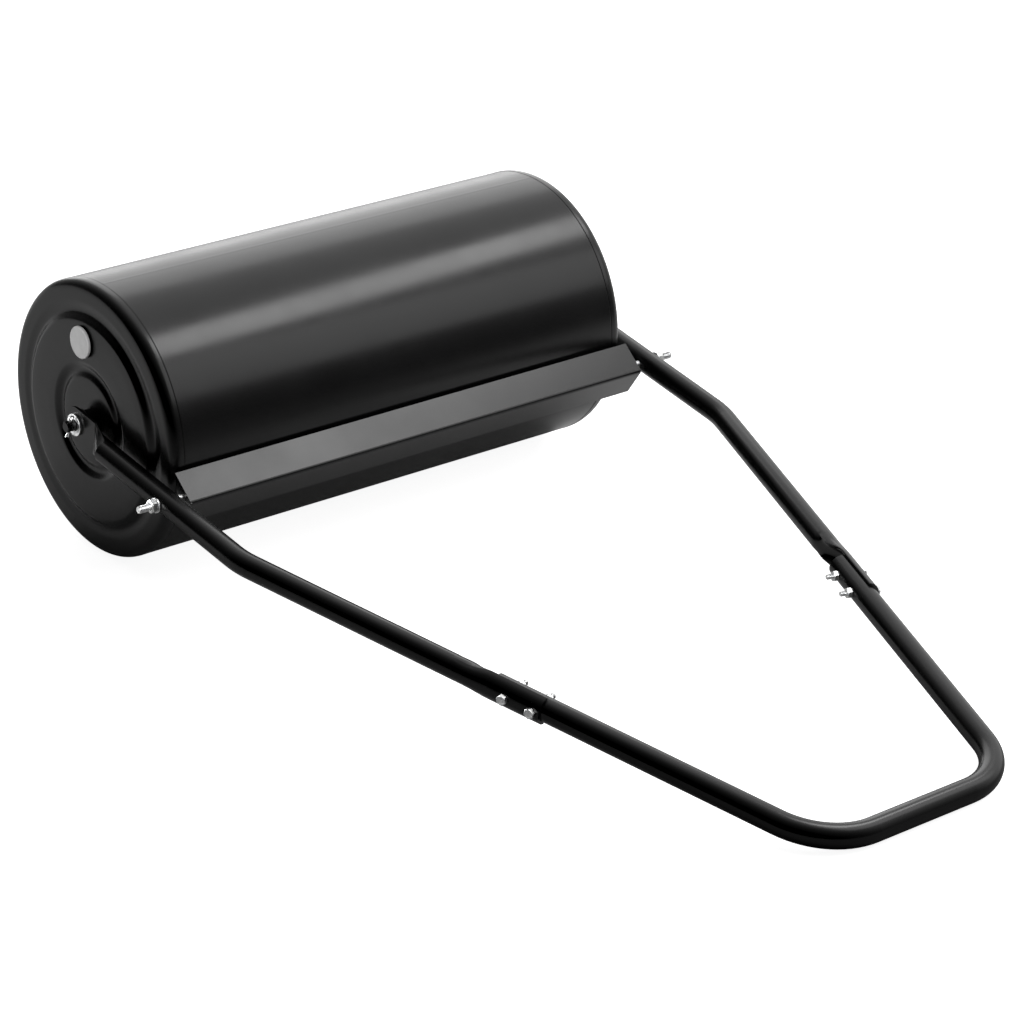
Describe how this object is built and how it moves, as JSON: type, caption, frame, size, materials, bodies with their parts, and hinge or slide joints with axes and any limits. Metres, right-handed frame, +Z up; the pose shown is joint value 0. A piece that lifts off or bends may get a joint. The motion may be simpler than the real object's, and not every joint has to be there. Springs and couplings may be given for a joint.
{
  "type": "lawn roller",
  "caption": "Push lawn roller: black water-filled steel drum on a through axle, bent tube handle hinged on the same axle, filler plug and folded scraper bar.",
  "frame": {"origin": "middle of the bounding box, on the ground", "axes": "+X along the axle to the right seen from the handle, -Y from the drum to the handle, +Z up"},
  "size_m": [0.712, 1.0994, 0.3],
  "materials": {
    "black_powder_coat": "satin",
    "zinc_plate": "satin",
    "grey_plastic": "satin",
    "black_nylon": "matte",
    "seal_rubber": "matte"
  },
  "bodies": {
    "axle": {"axle_rod": "black_powder_coat", "inner_washer_left": "zinc_plate", "inner_washer_right": "zinc_plate", "outer_washer_left": "zinc_plate", "outer_washer_right": "zinc_plate", "split_pin_left": "zinc_plate", "split_pin_right": "zinc_plate"},
    "drum": {"drum_shell": "black_powder_coat", "end_cap_left": "black_powder_coat", "end_cap_right": "black_powder_coat", "centre_sleeve": "black_powder_coat", "bush_left": "black_nylon", "bush_right": "black_nylon", "filler_neck": "black_powder_coat", "plug_seal": "seal_rubber"},
    "plug": {"filler_plug": "grey_plastic"},
    "frame": {"arm_left": "black_powder_coat", "arm_right": "black_powder_coat", "handle_bar": "black_powder_coat", "scraper": "black_powder_coat", "joint_bolts_left": "zinc_plate", "joint_bolts_right": "zinc_plate", "joint_nuts_left": "zinc_plate", "joint_nuts_right": "zinc_plate", "scraper_bolt_left": "zinc_plate", "scraper_bolt_right": "zinc_plate", "scraper_washer_left": "zinc_plate", "scraper_washer_right": "zinc_plate", "scraper_nut_left": "zinc_plate", "scraper_nut_right": "zinc_plate"}
  },
  "joints": [
    {"name": "drum_spin", "type": "hinge", "parent": "axle", "child": "drum", "pos_m": [0, 0.39973, 0.15], "axis": [1, 0, 0], "continuous": true},
    {"name": "handle_lift", "type": "hinge", "parent": "axle", "child": "frame", "pos_m": [0, 0.39973, 0.15], "axis": [-1, 0, 0], "range_deg": [0, 196]},
    {"name": "plug_turn", "type": "hinge", "parent": "drum", "child": "plug", "pos_m": [-0.305, 0.40773, 0.2365], "axis": [1, 0, 0], "range_deg": [0, 720]}
  ]
}
